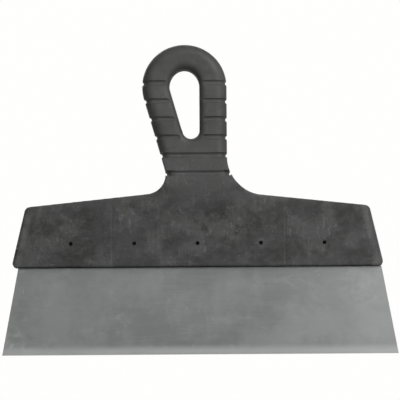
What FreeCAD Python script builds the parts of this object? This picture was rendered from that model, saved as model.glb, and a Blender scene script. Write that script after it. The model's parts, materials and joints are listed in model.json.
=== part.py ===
"""Flexible putty knife: a moulded loop handle, a spring-steel blade and the five pins that hold it.

The frame is +Z up the handle, +X along the blade and -Y out of the front, in millimetres,
and the origin is the middle of the working edge.
"""
import FreeCAD, Part
import math
import os

import Sketcher

# Each driving size has one row: its alias, its value and what it is on the object.
SIZES = [
    ("blade_width", 250.0, "length of the working edge"),
    ("blade_reach", 55.2, "height of free blade, from the working edge to the mouth of the head"),
    ("blade_slant", 10.6, "angle of the blade's sides from upright, in degrees"),
    ("blade_thickness", 0.5, "thickness of the steel sheet"),
    ("edge_thickness", 0.3, "thickness left at the ground working edge"),
    ("edge_band", 3.2, "height of the ground band above the working edge"),
    ("flex_gap", 0.05, "room between the mouth and the round upper end of the free blade"),
    ("tang_inset", 10.5, "how much narrower than the head the strip in it is, at each end"),
    ("tang_rise", 24.0, "how far the strip goes up into the head"),
    ("slot_clearance", 0.05, "room between the sheet and each wall of its slot"),
    ("slot_end_room", 0.5, "room past the ends of the strip in its slot"),
    ("head_shift", -1.35, "middle of the head, seen from the middle of the blade"),
    ("head_margin", 2.9, "how much the head is wider than the blade at the mouth, at each end"),
    ("head_slant", 13.4, "angle of the head's ends from upright, in degrees"),
    ("head_end_rise", 38.1, "height of the upper corners above the mouth"),
    ("shoulder_rise", 47.55, "height above the mouth where the top edge reaches the neck"),
    ("low_corner_radius", 2.8, "radius of the head's two lower corners"),
    ("top_corner_radius", 3.5, "radius of the head's two upper corners"),
    ("mouth_depth", 10.0, "thickness of the head at its mouth"),
    ("head_depth", 12.5, "thickness of the head at the foot of the neck"),
    ("head_rounding", 2.5, "radius of the head's long edges"),
    ("grip_depth", 19.0, "thickness of the grip"),
    ("grip_rounding", 5.5, "radius of the grip's outer edges"),
    ("window_rounding", 3.2, "radius of the edges of the finger window"),
    ("loop_shift", -9.1, "middle of the loop, seen from the middle of the blade"),
    ("loop_rise", 114.2, "height of the middle of the loop above the mouth"),
    ("loop_radius", 26.7, "outer radius of the top of the loop"),
    ("grip_lean", 16.2, "angle of the grip's left side from upright, in degrees"),
    ("flare_left_radius", 13.0, "radius that joins the neck to the head on the left"),
    ("flare_right_radius", 23.5, "radius that joins the neck to the head on the right"),
    ("neck_top_rise", 57.8, "height above the mouth where the neck has the grip's full depth"),
    ("neck_foot_rise", 46.3, "height above the mouth where the neck has come down to the head"),
    ("neck_blend_radius", 12.0, "radius of the two bends of the neck, seen from the side"),
    ("window_top_radius", 9.4, "radius of the top of the finger window"),
    ("window_low_radius", 5.4, "radius of the foot of the finger window"),
    ("window_low_rise", 86.3, "height of the middle of the window's foot above the mouth"),
    ("groove_radius", 2.0, "radius of the round section of each grip groove"),
    ("groove_depth", 0.95, "depth of each grip groove"),
    ("groove_pitch", 11.5, "distance from one grip groove to the next"),
    ("groove_low_rise", 58.7, "height of the lowest grip groove above the mouth"),
    ("groove_land", 2.5, "width left smooth beside the finger window"),
    ("pin_diameter", 2.5, "diameter of the blade pins and of their bores"),
    ("pin_pitch", 40.0, "distance from one pin to the next"),
    ("pin_rise", 14.8, "height of the pins above the mouth"),
    ("pin_sink", 1.2, "depth of each pin's end below the face of the head"),
    ("pin_room", 0.1, "room round each pin in the steel strip"),
]
PIN_COUNT = 5
NECK_GROOVES = 2
LEG_GROOVES = 4

GRIP_OVERLAP = 4.0  # how far the grip's form runs down inside the head's
PAST = 1.0  # how far a cut reaches past what it cuts
TOUCH = 1e-4  # distances and offsets below this count as none
BOX_SLACK = 0.01  # looseness of a curved edge's bounding box
LEAST_CUT = 1e-3  # smallest volume that a cut must take away
FACING = 0.9  # least share of a broad face's normal that points to the front or the back
CORNER_SHARE = 0.9  # most of a lower corner's radius that the head's rounding may take
MOUTH_SHARE = 0.4  # most of the mouth's thickness that the head's rounding may take

doc = FreeCAD.newDocument("putty_knife")
sizes = doc.addObject("Spreadsheet::Sheet", "sizes")
for row, (alias, value, meaning) in enumerate(SIZES, start=1):
    sizes.set(f"A{row}", meaning)
    sizes.set(f"B{row}", str(value))
    sizes.setAlias(f"B{row}", alias)
calculator = doc.addObject("App::VarSet", "calculator")
calculator.addProperty("App::PropertyFloat", "result")
doc.recompute()

# Places that several pieces share, as expressions of the sheet's sizes.
MOUTH = "sizes.blade_reach"
FLEX_LINE = f"{MOUTH} - sizes.blade_thickness / 2 - sizes.flex_gap"
LOOP_HEIGHT = f"({MOUTH} + sizes.loop_rise)"
SHOULDER = f"({MOUTH} + sizes.shoulder_rise)"
PIN_HEIGHT = f"({MOUTH} + sizes.pin_rise)"
GRIP_RIGHT = "(sizes.loop_shift + sizes.loop_radius)"
SHEET_HALF = "sizes.blade_thickness / 2"
HEAD_HALF = "(sizes.blade_width / 2 - sizes.blade_reach * tan(sizes.blade_slant) + sizes.head_margin)"
HEAD_TOP_HALF = f"({HEAD_HALF} - sizes.head_end_rise * tan(sizes.head_slant))"
TANG_HALF = f"({HEAD_HALF} - sizes.tang_inset)"
PIN_PLACES = [f"sizes.head_shift + {step} * sizes.pin_pitch - {PIN_COUNT - 1} * sizes.pin_pitch / 2"
              for step in range(PIN_COUNT)]


def grip_left(height):
    """Place of the grip's leaning left side at a height: a line that touches the loop's circle."""
    above = f"(({height}) - {LOOP_HEIGHT})"
    span = f"(sizes.loop_radius + {above} * sin(sizes.grip_lean)) / cos(sizes.grip_lean)"
    return f"(sizes.loop_shift - {span})"


def head_face(rise):
    """Half of the head's thickness at a rise above the mouth: the faces open as a thin wedge."""
    growth = "(sizes.head_depth - sizes.mouth_depth) / sizes.shoulder_rise"
    return f"((sizes.mouth_depth + {growth} * ({rise})) / 2)"


def number(expression):
    """Value of an expression now, used to draw a shape close to where its bound sizes put it."""
    calculator.setExpression("result", expression)
    calculator.recompute()
    return calculator.result


def new_body(name):
    body = doc.addObject("PartDesign::Body", name)
    body.Label = name
    return body


def new_sketch(body, plane_role, name, offset=None):
    """Sketch on one of the body's own origin planes, or at an offset along the plane's normal."""
    sketch = body.newObject("Sketcher::SketchObject", name)
    plane = next(item for item in body.Origin.OriginFeatures if item.Role == plane_role)
    sketch.AttachmentSupport = [(plane, "")]
    sketch.MapMode = "FlatFace"
    if offset:
        sketch.setExpression("AttachmentOffset.Base.z", offset)
    return sketch


def bind(sketch, kind, places, expression):
    """Add a constraint with a size and tie the size to an expression."""
    index = sketch.addConstraint(Sketcher.Constraint(kind, *places, number(expression)))
    sketch.setExpression(f"Constraints[{index}]", expression)


def fix_point(sketch, shape, end, x, y):
    bind(sketch, "DistanceX", (-1, 1, shape, end), x)
    bind(sketch, "DistanceY", (-1, 1, shape, end), y)


def add_circle(sketch, x, y, radius):
    middle = FreeCAD.Vector(number(x), number(y), 0)
    circle = Part.Circle(middle, FreeCAD.Vector(0, 0, 1), number(radius))
    shape = sketch.addGeometry(circle)
    fix_point(sketch, shape, 3, x, y)
    bind(sketch, "Radius", (shape,), radius)


def corner(x, y, radius=None):
    """Place where two straight runs meet, sharp or with a tangent arc of the given radius."""
    return {"x": x, "y": y, "radius": radius, "about": False}


def arc_about(x, y, radius):
    """Arc about a fixed middle, turning to the left, that the runs before and after it touch."""
    return {"x": x, "y": y, "radius": radius, "about": True}


def add_arc(sketch, middle, entry, leave, turns_left):
    """Arc from entry to leave; returns its number and the ends where it is entered and left."""
    first, last = (entry, leave) if turns_left else (leave, entry)
    angles = [math.atan2(point.y - middle.y, point.x - middle.x) for point in (first, last)]
    circle = Part.Circle(middle, FreeCAD.Vector(0, 0, 1), (entry - middle).Length)
    shape = sketch.addGeometry(Part.ArcOfCircle(circle, *angles))
    return (shape, 1, 2) if turns_left else (shape, 2, 1)


def add_outline(sketch, places, closed=True):
    """Draw straight runs from place to place, round the places off, and bind every size."""
    spots = [FreeCAD.Vector(number(place["x"]), number(place["y"]), 0) for place in places]
    radii = [number(place["radius"]) if place["radius"] else 0.0 for place in places]
    runs = []
    for index in range(len(places) if closed else len(places) - 1):
        after = (index + 1) % len(places)
        start_offset = radii[index] if places[index]["about"] else 0.0
        end_offset = radii[after] if places[after]["about"] else 0.0
        across = spots[after] - spots[index]
        heading = math.atan2(across.y, across.x)
        heading -= math.asin((end_offset - start_offset) / across.Length)
        left = FreeCAD.Vector(-math.sin(heading), math.cos(heading), 0)
        runs.append([spots[index] - left * start_offset, spots[after] - left * end_offset])

    bends = {}
    for index, place in enumerate(places):
        if not place["radius"]:
            continue
        incoming, outgoing = runs[index - 1], runs[index]
        arriving = (incoming[1] - incoming[0]).normalize()
        leaving = (outgoing[1] - outgoing[0]).normalize()
        turns_left = arriving.cross(leaving).z > 0
        if place["about"]:
            bends[index] = (spots[index], True)
            continue
        cut = radii[index] * math.tan(arriving.getAngle(leaving) / 2)
        incoming[1] = spots[index] - arriving * cut
        outgoing[0] = spots[index] + leaving * cut
        inward = FreeCAD.Vector(-arriving.y, arriving.x, 0) * (1 if turns_left else -1)
        bends[index] = (incoming[1] + inward * radii[index], turns_left)

    lines = [sketch.addGeometry(Part.LineSegment(*run)) for run in runs]
    for index, place in enumerate(places):
        x, y, radius = place["x"], place["y"], place["radius"]
        before = lines[index - 1] if closed or index else None
        after = lines[index] if index < len(lines) else None
        if not radius:
            if before is not None and after is not None:
                sketch.addConstraint(Sketcher.Constraint("Coincident", before, 2, after, 1))
            line, end = (before, 2) if after is None else (after, 1)
            fix_point(sketch, line, end, x, y)
            continue
        middle, turns_left = bends[index]
        entry, leave = runs[index - 1][1], runs[index][0]
        arc, entered, left_at = add_arc(sketch, middle, entry, leave, turns_left)
        sketch.addConstraint(Sketcher.Constraint("Tangent", before, 2, arc, entered))
        sketch.addConstraint(Sketcher.Constraint("Tangent", arc, left_at, after, 1))
        bind(sketch, "Radius", (arc,), radius)
        if place["about"]:
            fix_point(sketch, arc, 3, x, y)
            continue
        apex = sketch.addGeometry(Part.Point(spots[index]), True)
        fix_point(sketch, apex, 1, x, y)
        sketch.addConstraint(Sketcher.Constraint("PointOnObject", apex, 1, before))
        sketch.addConstraint(Sketcher.Constraint("PointOnObject", apex, 1, after))


def rectangle(left, right, low, high):
    return [corner(left, low), corner(right, low), corner(right, high), corner(left, high)]


def finish_feature(feature, must_cut=False):
    """Recompute and make sure that the feature worked, and that a cut took something away."""
    doc.recompute()
    if not feature.isValid() or feature.Shape.isNull():
        raise RuntimeError(f"{feature.Name} failed: {feature.State}")
    if must_cut and feature.Shape.Volume > feature.BaseFeature.Shape.Volume - LEAST_CUT:
        raise RuntimeError(f"{feature.Name} cut nothing")
    return feature


def add_pad(body, sketch, length, name):
    """Pad a sketch to both sides of its plane."""
    pad = body.newObject("PartDesign::Pad", name)
    pad.Profile = sketch
    pad.SideType = "Symmetric"
    pad.setExpression("Length", length)
    return finish_feature(pad)


def add_pocket(body, sketch, name, length=None):
    """Cut a sketch away to both sides of its plane, right through or to a stated length."""
    pocket = body.newObject("PartDesign::Pocket", name)
    pocket.Profile = sketch
    pocket.SideType = "Symmetric"
    if length:
        pocket.setExpression("Length", length)
    else:
        pocket.Type = "ThroughAll"
    return finish_feature(pocket, must_cut=True)


def add_fillet(body, edges, radius, name):
    """Round the chosen edges of the body's last feature."""
    base = body.Tip
    numbers = [f"Edge{i}" for i, edge in enumerate(base.Shape.Edges, 1) if edges(edge)]
    fillet = body.newObject("PartDesign::Fillet", name)
    fillet.Base = (base, numbers)
    fillet.setExpression("Radius", radius)
    return finish_feature(fillet)


def on_faces(edge, face_half):
    """Whether an edge lies in the front or the back face."""
    box = edge.BoundBox
    return box.YLength < TOUCH and abs(abs(box.Center.y) - face_half) < TOUCH


def cut_neck_curve(body, side, name):
    """Bring one face of the neck down to the head's face in an S, seen from the side."""
    outside = f"{side} * sizes.grip_depth"
    deep = f"{side} * sizes.grip_depth / 2"
    foot_rise = "sizes.neck_foot_rise"
    below = f"({foot_rise} - sizes.neck_blend_radius)"
    top_rise = "sizes.neck_top_rise"
    above = f"({top_rise} + sizes.neck_blend_radius)"
    sketch = new_sketch(body, "YZ_Plane", f"{name}_outline")
    add_outline(sketch, [
        corner(outside, f"{MOUTH} + {below}"),
        corner(f"{side} * {head_face(below)}", f"{MOUTH} + {below}"),
        corner(f"{side} * {head_face(foot_rise)}", f"{MOUTH} + {foot_rise}", "sizes.neck_blend_radius"),
        corner(deep, f"{MOUTH} + {top_rise}", "sizes.neck_blend_radius"),
        corner(deep, f"{MOUTH} + {above}"),
        corner(outside, f"{MOUTH} + {above}"),
    ])
    add_pocket(body, sketch, name)


def cut_groove(body, path, start, height, name):
    """Sweep the round section of a grip groove along a level path that begins towards +X or -X."""
    section = new_sketch(body, "YZ_Plane", f"{name}_section", offset=start["x"])
    add_circle(section, start["y"], height, "sizes.groove_radius")
    groove = body.newObject("PartDesign::SubtractivePipe", name)
    groove.Profile = section
    groove.Spine = path
    finish_feature(groove, must_cut=True)


def make_grip():
    """Loop and neck, with their window, roundings, side curves and grooves."""
    body = new_body("grip_form")
    foot = f"({MOUTH} + sizes.neck_foot_rise - {GRIP_OVERLAP})"
    sketch = new_sketch(body, "XZ_Plane", "grip_outline")
    add_outline(sketch, [
        corner(GRIP_RIGHT, foot),
        arc_about("sizes.loop_shift", LOOP_HEIGHT, "sizes.loop_radius"),
        corner(grip_left(foot), foot),
    ])
    add_pad(body, sketch, "sizes.grip_depth", "grip_pad")

    half, foot_height = number("sizes.grip_depth / 2"), number(foot)
    add_fillet(body, lambda edge: on_faces(edge, half) and edge.BoundBox.ZMax > foot_height + PAST,
               "sizes.grip_rounding", "grip_edges")

    sketch = new_sketch(body, "XZ_Plane", "window_outline")
    low_x = "sizes.loop_shift + sizes.window_top_radius - sizes.window_low_radius"
    add_outline(sketch, [
        arc_about("sizes.loop_shift", LOOP_HEIGHT, "sizes.window_top_radius"),
        arc_about(low_x, f"{MOUTH} + sizes.window_low_rise", "sizes.window_low_radius"),
    ])
    add_pocket(body, sketch, "window")
    middle, reach = number("sizes.loop_shift"), number("sizes.window_top_radius") + BOX_SLACK
    add_fillet(body, lambda edge: (on_faces(edge, half) and edge.BoundBox.XMax < middle + reach
                                   and edge.BoundBox.XMin > middle - reach),
               "sizes.window_rounding", "window_edges")

    cut_neck_curve(body, "-1", "front_neck_curve")
    cut_neck_curve(body, "1", "back_neck_curve")

    standoff = "(sizes.groove_radius - sizes.groove_depth)"
    bend = f"sizes.grip_rounding + {standoff}"
    face = f"(sizes.grip_depth / 2 + {standoff})"
    inner_right = "(sizes.loop_shift + sizes.window_top_radius + sizes.groove_land)"
    for step in range(NECK_GROOVES + LEG_GROOVES):
        height = f"({MOUTH} + sizes.groove_low_rise + {step} * sizes.groove_pitch)"
        outer_right = f"({GRIP_RIGHT} + {standoff})"
        outer_left = f"({grip_left(height)} - {standoff})"
        if step < NECK_GROOVES:
            middle_x = f"({outer_left} + {outer_right}) / 2"
            sides = {"ring": [corner(middle_x, f"-{face}"), corner(outer_right, f"-{face}", bend),
                              corner(outer_right, face, bend), corner(outer_left, face, bend),
                              corner(outer_left, f"-{face}", bend)]}
        else:
            leg = "(sizes.loop_radius - sizes.window_top_radius - sizes.groove_land)"
            inner_left = f"({grip_left(height)} + {leg} / cos(sizes.grip_lean))"
            sides = {
                "right": [corner(inner_right, f"-{face}"), corner(outer_right, f"-{face}", bend),
                          corner(outer_right, face, bend), corner(inner_right, face)],
                "left": [corner(inner_left, face), corner(outer_left, face, bend),
                         corner(outer_left, f"-{face}", bend), corner(inner_left, f"-{face}")],
            }
        for side, places in sides.items():
            path = new_sketch(body, "XY_Plane", f"{side}_path_{step}", offset=height)
            add_outline(path, places, closed=side == "ring")
            cut_groove(body, path, places[0], height, f"{side}_groove_{step}")
    return body


def make_head():
    """Head with its flares up to the neck, the slot for the sheet and the bores for the pins."""
    body = new_body("head_form")
    top = f"{MOUTH} + sizes.head_end_rise"
    neck_top = f"{SHOULDER} + sizes.flare_right_radius"
    sketch = new_sketch(body, "XZ_Plane", "head_outline")
    add_outline(sketch, [
        corner(f"sizes.head_shift - {HEAD_HALF}", MOUTH, "sizes.low_corner_radius"),
        corner(f"sizes.head_shift + {HEAD_HALF}", MOUTH, "sizes.low_corner_radius"),
        corner(f"sizes.head_shift + {HEAD_TOP_HALF}", top, "sizes.top_corner_radius"),
        corner(GRIP_RIGHT, SHOULDER, "sizes.flare_right_radius"),
        corner(GRIP_RIGHT, neck_top),
        corner(grip_left(neck_top), neck_top),
        corner(grip_left(SHOULDER), SHOULDER, "sizes.flare_left_radius"),
        corner(f"sizes.head_shift - {HEAD_TOP_HALF}", top, "sizes.top_corner_radius"),
    ])
    add_pad(body, sketch, "sizes.grip_depth", "head_pad")

    for side, name in (("-1", "front_face"), ("1", "back_face")):
        outside = f"{side} * sizes.grip_depth"
        top_rise = f"(sizes.shoulder_rise + sizes.flare_right_radius + {PAST})"
        sketch = new_sketch(body, "YZ_Plane", f"{name}_outline")
        add_outline(sketch, [
            corner(outside, f"{MOUTH} - {PAST}"),
            corner(f"{side} * {head_face(-PAST)}", f"{MOUTH} - {PAST}"),
            corner(f"{side} * {head_face(top_rise)}", f"{MOUTH} + {top_rise}"),
            corner(outside, f"{MOUTH} + {top_rise}"),
        ])
        add_pocket(body, sketch, name)

    broad = [face for face in body.Tip.Shape.Faces if abs(face.normalAt(0, 0).y) > FACING]
    outline_codes = [edge.hashCode() for face in broad for edge in face.Edges]
    neck_top_height = number(neck_top)

    def is_outline(edge):
        """Whether an edge borders a broad face, below the end that the grip covers."""
        return edge.hashCode() in outline_codes and edge.BoundBox.ZMin < neck_top_height - BOX_SLACK

    limits = f"{CORNER_SHARE} * sizes.low_corner_radius; {MOUTH_SHARE} * sizes.mouth_depth"
    rounding = f"min(sizes.head_rounding; {limits})"
    add_fillet(body, is_outline, rounding, "head_edges")

    sketch = new_sketch(body, "XZ_Plane", "slot_outline")
    slot_half = f"({TANG_HALF} + sizes.slot_end_room)"
    slot_top = f"{MOUTH} + sizes.tang_rise + sizes.slot_end_room"
    add_outline(sketch, rectangle(f"-{slot_half}", slot_half, f"{MOUTH} - {PAST}", slot_top))
    add_pocket(body, sketch, "slot", "sizes.blade_thickness + 2 * sizes.slot_clearance")

    sketch = new_sketch(body, "XZ_Plane", "pin_bores_outline")
    for place in PIN_PLACES:
        add_circle(sketch, place, PIN_HEIGHT, "sizes.pin_diameter / 2")
    add_pocket(body, sketch, "pin_bores")
    return body


def make_handle():
    """One moulding: the head and the grip are one solid."""
    handle = doc.addObject("Part::Fuse", "handle")
    handle.Base = make_head()
    handle.Tool = make_grip()
    handle.Label = "handle"
    return finish_feature(handle)


def make_blade():
    """Free part of the sheet: a round upper end on the flexing line, and a ground working edge."""
    body = new_body("blade")
    sketch = new_sketch(body, "YZ_Plane", "blade_section")
    edge_half = "sizes.edge_thickness / 2"
    add_outline(sketch, [
        corner(f"-{edge_half}", "0"),
        corner(edge_half, "0"),
        corner(SHEET_HALF, "sizes.edge_band"),
        arc_about("0", FLEX_LINE, SHEET_HALF),
        corner(f"-{SHEET_HALF}", "sizes.edge_band"),
    ])
    add_pad(body, sketch, "sizes.blade_width", "blade_sheet")

    for side, name in (("-1", "left_side"), ("1", "right_side")):
        edge_end = f"{side} * sizes.blade_width / 2"
        above = f"({MOUTH} + {PAST})"
        sketch = new_sketch(body, "XZ_Plane", f"{name}_outline")
        add_outline(sketch, [
            corner(edge_end, "0"),
            corner(f"{edge_end} - {side} * {above} * tan(sizes.blade_slant)", above),
            corner(edge_end, above),
        ])
        add_pocket(body, sketch, name)
    return body


def make_tang():
    """Clamped part of the sheet: a strip inside the head, with a hole for each pin."""
    body = new_body("blade_tang")
    sketch = new_sketch(body, "XZ_Plane", "tang_outline")
    add_outline(sketch, rectangle(f"-{TANG_HALF}", TANG_HALF, MOUTH, f"{MOUTH} + sizes.tang_rise"))
    add_pad(body, sketch, "sizes.blade_thickness", "tang_strip")

    sketch = new_sketch(body, "XZ_Plane", "pin_holes_outline")
    for place in PIN_PLACES:
        add_circle(sketch, place, PIN_HEIGHT, "sizes.pin_diameter / 2 + sizes.pin_room")
    add_pocket(body, sketch, "pin_holes")
    return body


def make_pins():
    """Steel pins across the head, each end sunk below the face it is driven from."""
    pins = []
    half_length = f"({head_face('sizes.pin_rise')} - sizes.pin_sink)"
    for count, place in enumerate(PIN_PLACES, start=1):
        pin = doc.addObject("Part::Cylinder", f"pin_{count}")
        pin.setExpression("Radius", "sizes.pin_diameter / 2")
        pin.setExpression("Height", f"2 * {half_length}")
        pin.Placement.Rotation = FreeCAD.Rotation(FreeCAD.Vector(1, 0, 0), 90)
        pin.setExpression("Placement.Base.x", place)
        pin.setExpression("Placement.Base.y", half_length)
        pin.setExpression("Placement.Base.z", PIN_HEIGHT)
        pins.append(pin)
    group = doc.addObject("Part::Compound", "blade_pins")
    group.Links = pins
    group.Label = "blade_pins"
    return finish_feature(group)


sub_parts = [make_handle(), make_blade(), make_tang(), make_pins()]
doc.recompute()
for item in doc.Objects:
    if "Invalid" in item.State or "Error" in item.State:
        raise RuntimeError(f"{item.Name} is left failed: {item.State}")
os.makedirs("parts", exist_ok=True)
for part in sub_parts:
    shape = part.Shape
    if shape.isNull() or not shape.isValid():
        raise RuntimeError(f"{part.Label} has no valid shape")
    shape.exportStep(f"parts/{part.Label}.step")
    print(f"{part.Label}: {len(shape.Solids)} solid(s), {shape.Volume:.0f} mm3")
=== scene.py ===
# %% [markdown]
# # A wide flexible putty knife
#
# The real tool has three kinds of piece: a moulded plastic handle whose head is as wide as the
# blade, a thin sheet of spring steel that is clamped in a slot of that head, and five steel pins
# that hold the sheet. The frame that is loaded here gives each of them its true size and place,
# in metres, with the working edge along X at the bottom and the broad faces looking along Y.

# %% Load the frame
import json
from math import atan2, cos, hypot, pi, sin, sqrt, tan

import bmesh
import bpy
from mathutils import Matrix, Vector

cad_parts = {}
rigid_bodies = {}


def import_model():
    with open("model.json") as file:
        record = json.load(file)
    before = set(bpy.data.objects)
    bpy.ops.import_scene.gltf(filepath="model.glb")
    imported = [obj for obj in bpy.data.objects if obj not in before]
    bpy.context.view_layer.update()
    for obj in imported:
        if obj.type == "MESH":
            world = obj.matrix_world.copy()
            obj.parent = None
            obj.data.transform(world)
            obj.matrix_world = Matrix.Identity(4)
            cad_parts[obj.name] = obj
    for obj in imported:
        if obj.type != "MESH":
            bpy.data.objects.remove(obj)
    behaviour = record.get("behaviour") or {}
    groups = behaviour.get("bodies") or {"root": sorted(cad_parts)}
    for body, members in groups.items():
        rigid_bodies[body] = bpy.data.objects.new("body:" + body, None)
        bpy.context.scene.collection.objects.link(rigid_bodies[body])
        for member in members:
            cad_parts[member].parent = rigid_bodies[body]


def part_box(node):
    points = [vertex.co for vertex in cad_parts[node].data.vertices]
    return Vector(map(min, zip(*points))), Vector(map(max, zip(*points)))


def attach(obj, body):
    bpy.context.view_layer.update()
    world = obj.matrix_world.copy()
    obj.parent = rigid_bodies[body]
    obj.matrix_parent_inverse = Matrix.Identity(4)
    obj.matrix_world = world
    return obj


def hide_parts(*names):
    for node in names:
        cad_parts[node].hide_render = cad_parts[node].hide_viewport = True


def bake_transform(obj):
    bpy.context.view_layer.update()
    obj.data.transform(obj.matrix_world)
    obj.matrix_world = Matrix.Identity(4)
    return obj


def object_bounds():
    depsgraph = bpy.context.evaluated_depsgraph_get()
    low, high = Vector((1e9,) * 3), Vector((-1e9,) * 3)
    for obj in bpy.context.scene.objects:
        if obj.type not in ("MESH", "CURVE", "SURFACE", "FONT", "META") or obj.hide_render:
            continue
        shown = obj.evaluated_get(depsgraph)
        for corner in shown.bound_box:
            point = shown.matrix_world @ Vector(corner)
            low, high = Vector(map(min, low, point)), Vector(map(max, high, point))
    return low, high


bpy.ops.object.select_all(action="SELECT")
bpy.ops.object.delete()  # the cube, light and camera that a new file holds
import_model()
cad_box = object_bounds()
bpy.ops.object.select_all(action="DESELECT")

# %% [markdown]
# ## Small tools for modelling
#
# Sizes on a drawing are in millimetres and Blender works in metres, so every length below is
# multiplied by MM. Edit mode acts on what is selected. These helpers open a piece with nothing
# selected and then pick its points, edges or faces by where their middle lies, which is what a
# person does with a box selection. NEAR is how close counts as the same place, MERGE is how close
# two points are when they are merged, and PAST is how far a cutter runs past what it cuts.

# %% Helpers for edit mode
MM = 0.001
DEG = pi / 180
NEAR = 0.05 * MM
MERGE = 0.001 * MM
PAST = 1 * MM


def select_only(piece):
    """Makes one piece the selected and active object."""
    bpy.ops.object.select_all(action="DESELECT")
    piece.select_set(True)
    bpy.context.view_layer.objects.active = piece


def open_piece(piece):
    """Enters edit mode on one piece, with nothing of it selected."""
    select_only(piece)
    bpy.ops.object.mode_set(mode="EDIT")
    bpy.ops.mesh.select_all(action="DESELECT")


def close_piece():
    """Leaves edit mode and returns the piece."""
    bpy.ops.object.mode_set(mode="OBJECT")
    return bpy.context.object


def pick(kind, wanted):
    """Selects the points, edges or faces for which wanted(middle, element) holds."""
    bpy.ops.mesh.select_mode(type=kind)
    bpy.ops.mesh.select_all(action="DESELECT")
    mesh = bmesh.from_edit_mesh(bpy.context.object.data)
    elements = {"VERT": mesh.verts, "EDGE": mesh.edges, "FACE": mesh.faces}[kind]
    for element in elements:
        points = [element.co] if kind == "VERT" else [v.co for v in element.verts]
        middle = sum(points, Vector()) / len(points)
        element.select_set(bool(wanted(middle, element)))
    mesh.select_flush_mode()
    bmesh.update_edit_mesh(bpy.context.object.data)


def pick_all():
    """Selects every point of the open piece."""
    pick("VERT", lambda p, v: True)


def cut_rows(heights):
    """Cuts the open piece all the way through at each height."""
    for height in heights:
        bpy.ops.mesh.select_all(action="SELECT")
        bpy.ops.mesh.bisect(plane_co=(0, 0, height), plane_no=(0, 0, 1))


def add_finished(piece, kind, **settings):
    """Adds a modifier with its settings and applies it."""
    select_only(piece)
    modifier = piece.modifiers.new(kind.title(), kind)
    for name, value in settings.items():
        setattr(modifier, name, value)
    bpy.ops.object.modifier_apply(modifier=modifier.name)
    return piece


def join(pieces, name):
    """Joins several pieces into the first one and names it."""
    bpy.ops.object.select_all(action="DESELECT")
    for piece in pieces:
        piece.select_set(True)
    bpy.context.view_layer.objects.active = pieces[0]
    if len(pieces) > 1:
        bpy.ops.object.join()
    pieces[0].name = pieces[0].data.name = name
    return pieces[0]


def settle(piece):
    """Puts the piece's object at the origin, unturned and unscaled, with its place in its mesh."""
    select_only(piece)
    bpy.ops.object.transform_apply(location=True, rotation=True, scale=True)
    return piece


def smooth_faces(piece, turn):
    """Shades a piece smooth, apart from the edges that turn by more than the angle."""
    select_only(piece)
    bpy.ops.object.shade_smooth_by_angle(angle=turn)


def say(piece):
    """Prints what a piece measures."""
    low, high = (
        [round(f(v.co[i] for v in piece.data.vertices) / MM, 2) for i in range(3)]
        for f in (min, max)
    )
    print(piece.name, "from", low, "to", high, "mm,", len(piece.data.polygons), "faces")


# %% [markdown]
# ## The sizes of the handle
#
# The frame's boxes give the outer limits of the blade, its tang, the pins and the handle. The
# values below say how the moulding is laid out inside its box: a loop to hang the tool by, two
# legs that run down from the loop, a neck where they meet, and the wide head. Most heights count
# from the mouth, the lower edge of the head, where the blade comes out.

# %% Sizes that the frame gives
handle_low, handle_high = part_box("handle")
blade_low, blade_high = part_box("blade")
tang_low, tang_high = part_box("blade_tang")
pins_low, pins_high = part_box("blade_pins")
MOUTH = handle_low.z

# %% Sizes of the grip
GRIP_HALF = handle_high.y
LOOP_RADIUS = 26.7 * MM
LOOP_X = -9.1 * MM
LOOP_Z = handle_high.z - LOOP_RADIUS
WINDOW_RADIUS = 9.4 * MM
LEG_WIDTH = LOOP_RADIUS - WINDOW_RADIUS
LEAN = 16.2 * DEG
OUTER_ROUNDING = 6.6 * MM
INNER_ROUNDING = 4.4 * MM
GRIP_RIGHT = LOOP_X + LOOP_RADIUS
WINDOW_RIGHT = LOOP_X + WINDOW_RADIUS
FOOT_RADIUS = 5.4 * MM
FOOT_X = WINDOW_RIGHT - FOOT_RADIUS
FOOT_Z = 141.5 * MM

# %% Sizes of the head and the neck
HEAD_X = (handle_low.x + handle_high.x) / 2
HEAD_HALF = 117.57 * MM
HEAD_SLANT = 13.4 * DEG
HEAD_END_Z = MOUTH + 38.1 * MM
SHOULDER_Z = MOUTH + 47.55 * MM
MOUTH_HALF = 5.0 * MM
SHOULDER_HALF = 6.25 * MM
HEAD_ROUNDING = 2.5 * MM
NECK_ROUNDING = 5.8 * MM
LOW_CORNER = 2.8 * MM
TOP_CORNER = 3.5 * MM
FLARE_LEFT = 13.0 * MM
FLARE_RIGHT = 23.5 * MM
STUB_HEIGHT = 24 * MM
STUB_Z = SHOULDER_Z + STUB_HEIGHT
NECK_FOOT_Z = MOUTH + 46.3 * MM
NECK_TOP_Z = MOUTH + 57.8 * MM


def grip_left(height):
    """X of the leaning left side of the grip, without its flare."""
    return LOOP_X - LOOP_RADIUS / cos(LEAN) + (LOOP_Z - height) * tan(LEAN)


def smooth(step):
    """Rises from 0 to 1 with level ends."""
    step = min(max(step, 0), 1)
    return step * step * (3 - 2 * step)


def flat_half(height):
    """Half the depth of the plain wedge of the head."""
    rise = min((height - MOUTH) / (SHOULDER_Z - MOUTH), 1)
    return MOUTH_HALF + rise * (SHOULDER_HALF - MOUTH_HALF)


def face_half(height):
    """Half the depth of the finished moulding: the wedge, then a soft step out to the grip."""
    step = smooth((height - NECK_FOOT_Z) / (NECK_TOP_Z - NECK_FOOT_Z))
    return flat_half(height) + step * (GRIP_HALF - flat_half(height))


print("grip left at the shoulder", round(grip_left(SHOULDER_Z) / MM, 2), "mm")

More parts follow.
